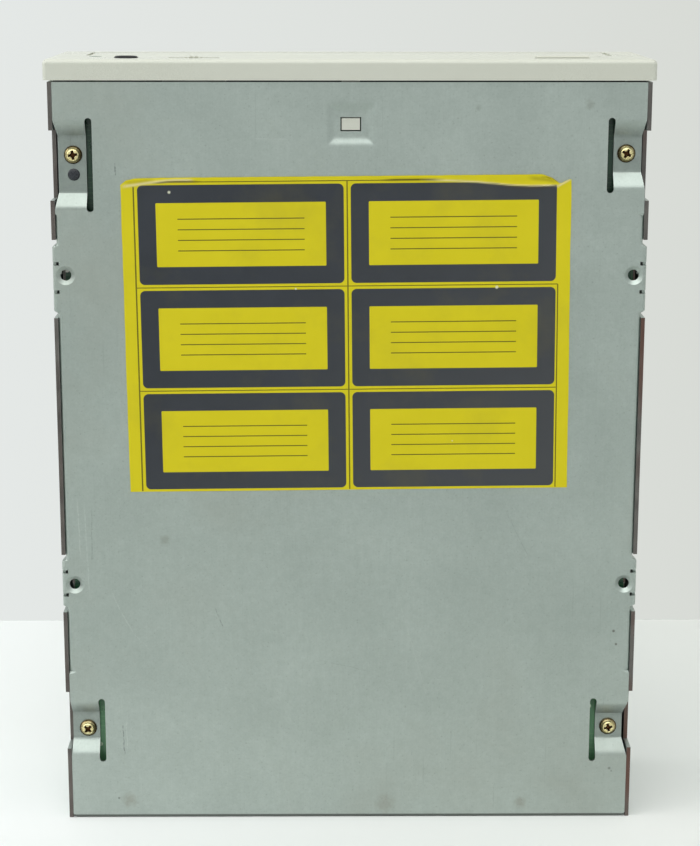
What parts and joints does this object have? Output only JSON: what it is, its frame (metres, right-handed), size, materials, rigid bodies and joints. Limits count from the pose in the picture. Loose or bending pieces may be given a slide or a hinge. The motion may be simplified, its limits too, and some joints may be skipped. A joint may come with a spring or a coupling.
{
  "type": "cd-rom drive",
  "caption": "Half-height 5.25-inch CD-ROM drive with a sliding disc tray, front controls, sheet-steel casing and rear connectors, standing on its rear end.",
  "frame": {"origin": "middle of the rear end, which the drive stands on", "axes": "+Z from the rear end to the bezel, +X to the right when the bottom plate is looked at, -Y out of the bottom plate, +Y out of the top cover"},
  "size_m": [0.148, 0.042, 0.1956],
  "materials": {
    "zinc_sheet": "zinc-plated sheet steel, satin",
    "cover_sheet": "zinc-plated sheet steel, satin",
    "cream_plastic": "fine moulded grain",
    "label_film": "thin creased sheet",
    "yellow_zinc": "yellow zinc plating",
    "green_board": "solder mask",
    "black_plastic": "moulded",
    "dark_plastic": "moulded",
    "white_plastic": "moulded nylon",
    "sleeve_plastic": "shrink sleeve",
    "gold_pin": "gold flash",
    "tin_pin": "tin plating",
    "pot_metal": "tin plating",
    "lamp_plastic": "tinted lens",
    "chassis_plastic": "glass-filled moulding",
    "tray_plastic": "fine moulded grain",
    "gear_plastic": "acetal",
    "belt_rubber": "matte",
    "motor_steel": "plated can",
    "ground_steel": "ground and polished",
    "magnet_metal": "nickel plating",
    "sled_metal": "die-cast, as cast",
    "lens_glass": "coated"
  },
  "bodies": {
    "root": {"bottom_plate": "zinc_sheet", "top_cover": "cover_sheet", "bezel": "cream_plastic", "label_sheet": "label_film", "frame_screws": "yellow_zinc", "main_board": "green_board", "board_chips": "black_plastic", "board_capacitors": "sleeve_plastic", "data_connector": "black_plastic", "data_pins": "gold_pin", "power_connector": "white_plastic", "power_pins": "tin_pin", "audio_connector": "white_plastic", "audio_pins": "gold_pin", "jumper_block": "black_plastic", "jumper_cap": "black_plastic", "headphone_jack": "black_plastic", "volume_pot": "pot_metal", "lamp_holder": "black_plastic", "front_lamp": "lamp_plastic", "eject_switch": "black_plastic", "chassis": "chassis_plastic", "drive_belt": "belt_rubber", "loading_motor": "motor_steel", "tray_switch": "black_plastic", "traverse_bushes": "belt_rubber", "clamp_bridge": "zinc_sheet"},
    "tray": {"tray": "tray_plastic", "tray_front": "cream_plastic"},
    "tray_gear": {"tray_gear": "gear_plastic"},
    "pulley_gear": {"pulley_gear": "gear_plastic"},
    "motor_pulley": {"motor_pulley": "gear_plastic"},
    "cam_slider": {"cam_slider": "gear_plastic"},
    "traverse": {"traverse_frame": "chassis_plastic", "guide_rods": "ground_steel", "spindle_motor": "motor_steel", "sled_motor": "motor_steel"},
    "turntable": {"turntable": "dark_plastic", "turntable_rubber": "belt_rubber"},
    "clamper": {"clamper": "white_plastic", "clamper_magnet": "magnet_metal"},
    "sled": {"sled": "sled_metal"},
    "lens": {"lens_holder": "dark_plastic", "lens": "lens_glass"},
    "sled_gear": {"sled_gear": "gear_plastic"},
    "sled_pinion": {"sled_pinion": "gear_plastic"},
    "volume_wheel": {"volume_wheel": "dark_plastic"},
    "eject_button": {"eject_button": "cream_plastic", "eject_plunger": "white_plastic"}
  },
  "joints": [
    {"name": "tray_slide", "type": "slide", "parent": "root", "child": "tray", "axis": [0, 0, 1], "range_m": [0, 0.125]},
    {"name": "tray_gear_turn", "type": "hinge", "parent": "root", "child": "tray_gear", "pos_m": [-0.038, 0, 0.1735], "axis": [0, 1, 0], "range_deg": [-10, 760]},
    {"name": "pulley_gear_turn", "type": "hinge", "parent": "root", "child": "pulley_gear", "pos_m": [-0.0236, 0, 0.1735], "axis": [0, 1, 0], "range_deg": [-1510, 10]},
    {"name": "motor_pulley_turn", "type": "hinge", "parent": "root", "child": "motor_pulley", "pos_m": [0.014, 0, 0.1735], "axis": [0, 1, 0], "range_deg": [-4700, 10]},
    {"name": "cam_slide", "type": "slide", "parent": "root", "child": "cam_slider", "axis": [1, 0, 0], "range_m": [0, 0.016]},
    {"name": "traverse_tilt", "type": "hinge", "parent": "root", "child": "traverse", "pos_m": [0, -0.004, 0.046], "axis": [1, 0, 0], "range_deg": [0, 2.6]},
    {"name": "spindle_turn", "type": "hinge", "parent": "traverse", "child": "turntable", "pos_m": [0, 0, 0.12], "axis": [0, 1, 0], "continuous": true},
    {"name": "clamper_turn", "type": "hinge", "parent": "root", "child": "clamper", "pos_m": [0, 0, 0.12], "axis": [0, 1, 0], "continuous": true},
    {"name": "sled_slide", "type": "slide", "parent": "traverse", "child": "sled", "axis": [0, 0, 1], "range_m": [-0.034, 0]},
    {"name": "sled_gear_turn", "type": "hinge", "parent": "traverse", "child": "sled_gear", "pos_m": [-0.0305, 0, 0.084], "axis": [0, 1, 0], "range_deg": [-5, 310]},
    {"name": "sled_pinion_turn", "type": "hinge", "parent": "traverse", "child": "sled_pinion", "pos_m": [-0.0305, 0, 0.07525], "axis": [0, 1, 0], "range_deg": [-880, 5]},
    {"name": "lens_focus", "type": "slide", "parent": "sled", "child": "lens", "axis": [0, 1, 0], "range_m": [-0.0006, 0.0006], "stiffness_N_per_m": 40},
    {"name": "volume_turn", "type": "hinge", "parent": "root", "child": "volume_wheel", "pos_m": [-0.038, 0, 0.1874], "axis": [0, 1, 0], "range_deg": [-150, 150]},
    {"name": "eject_press", "type": "slide", "parent": "root", "child": "eject_button", "axis": [0, 0, -1], "range_m": [0, 0.0012], "stiffness_N_per_m": 250}
  ],
  "couplings": [
    {"joint": "tray_gear_turn", "follows": "tray_slide", "rad_per_m": 104.17},
    {"joint": "pulley_gear_turn", "follows": "tray_slide", "rad_per_m": -208.33},
    {"joint": "motor_pulley_turn", "follows": "tray_slide", "rad_per_m": -651.04},
    {"joint": "traverse_tilt", "follows": "cam_slide", "rad_per_m": 2.7637},
    {"joint": "clamper_turn", "follows": "spindle_turn", "ratio": 1},
    {"joint": "sled_gear_turn", "follows": "sled_slide", "rad_per_m": -153.85},
    {"joint": "sled_pinion_turn", "follows": "sled_slide", "rad_per_m": 444.44}
  ]
}
